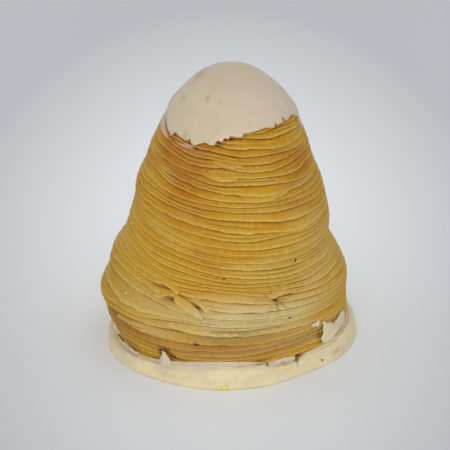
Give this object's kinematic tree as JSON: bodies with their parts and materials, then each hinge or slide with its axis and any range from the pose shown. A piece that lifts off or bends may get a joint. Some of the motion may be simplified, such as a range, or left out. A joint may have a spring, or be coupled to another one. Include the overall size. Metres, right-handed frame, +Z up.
{
  "type": "bell-shaped sfogliatella pastry",
  "caption": "Tall bell-shaped laminated pastry with fine overlapping spiral layers, a smooth white glaze cap over its tip and a thick white glaze foot that it stands in.",
  "frame": {"origin": "centre of the flat underside of the glaze foot, on the surface that it stands on", "axes": "+Z up along the bell, from the foot to the tip; +X to the right and -Y to the front as the picture shows it"},
  "size_m": [0.0793, 0.0732, 0.0914],
  "materials": {
    "laminated_dough": "baked laminated dough, golden, matte with a faint butter sheen, toasted to orange brown near the tip and paler low at the front",
    "white_glaze": "set ivory glaze, smooth, softly glossy, a little yellower in the foot"
  },
  "bodies": {
    "root": {"pastry": "laminated_dough", "glaze_cap": "white_glaze", "glaze_foot": "white_glaze", "glaze_splash": "white_glaze"}
  },
  "joints": []
}
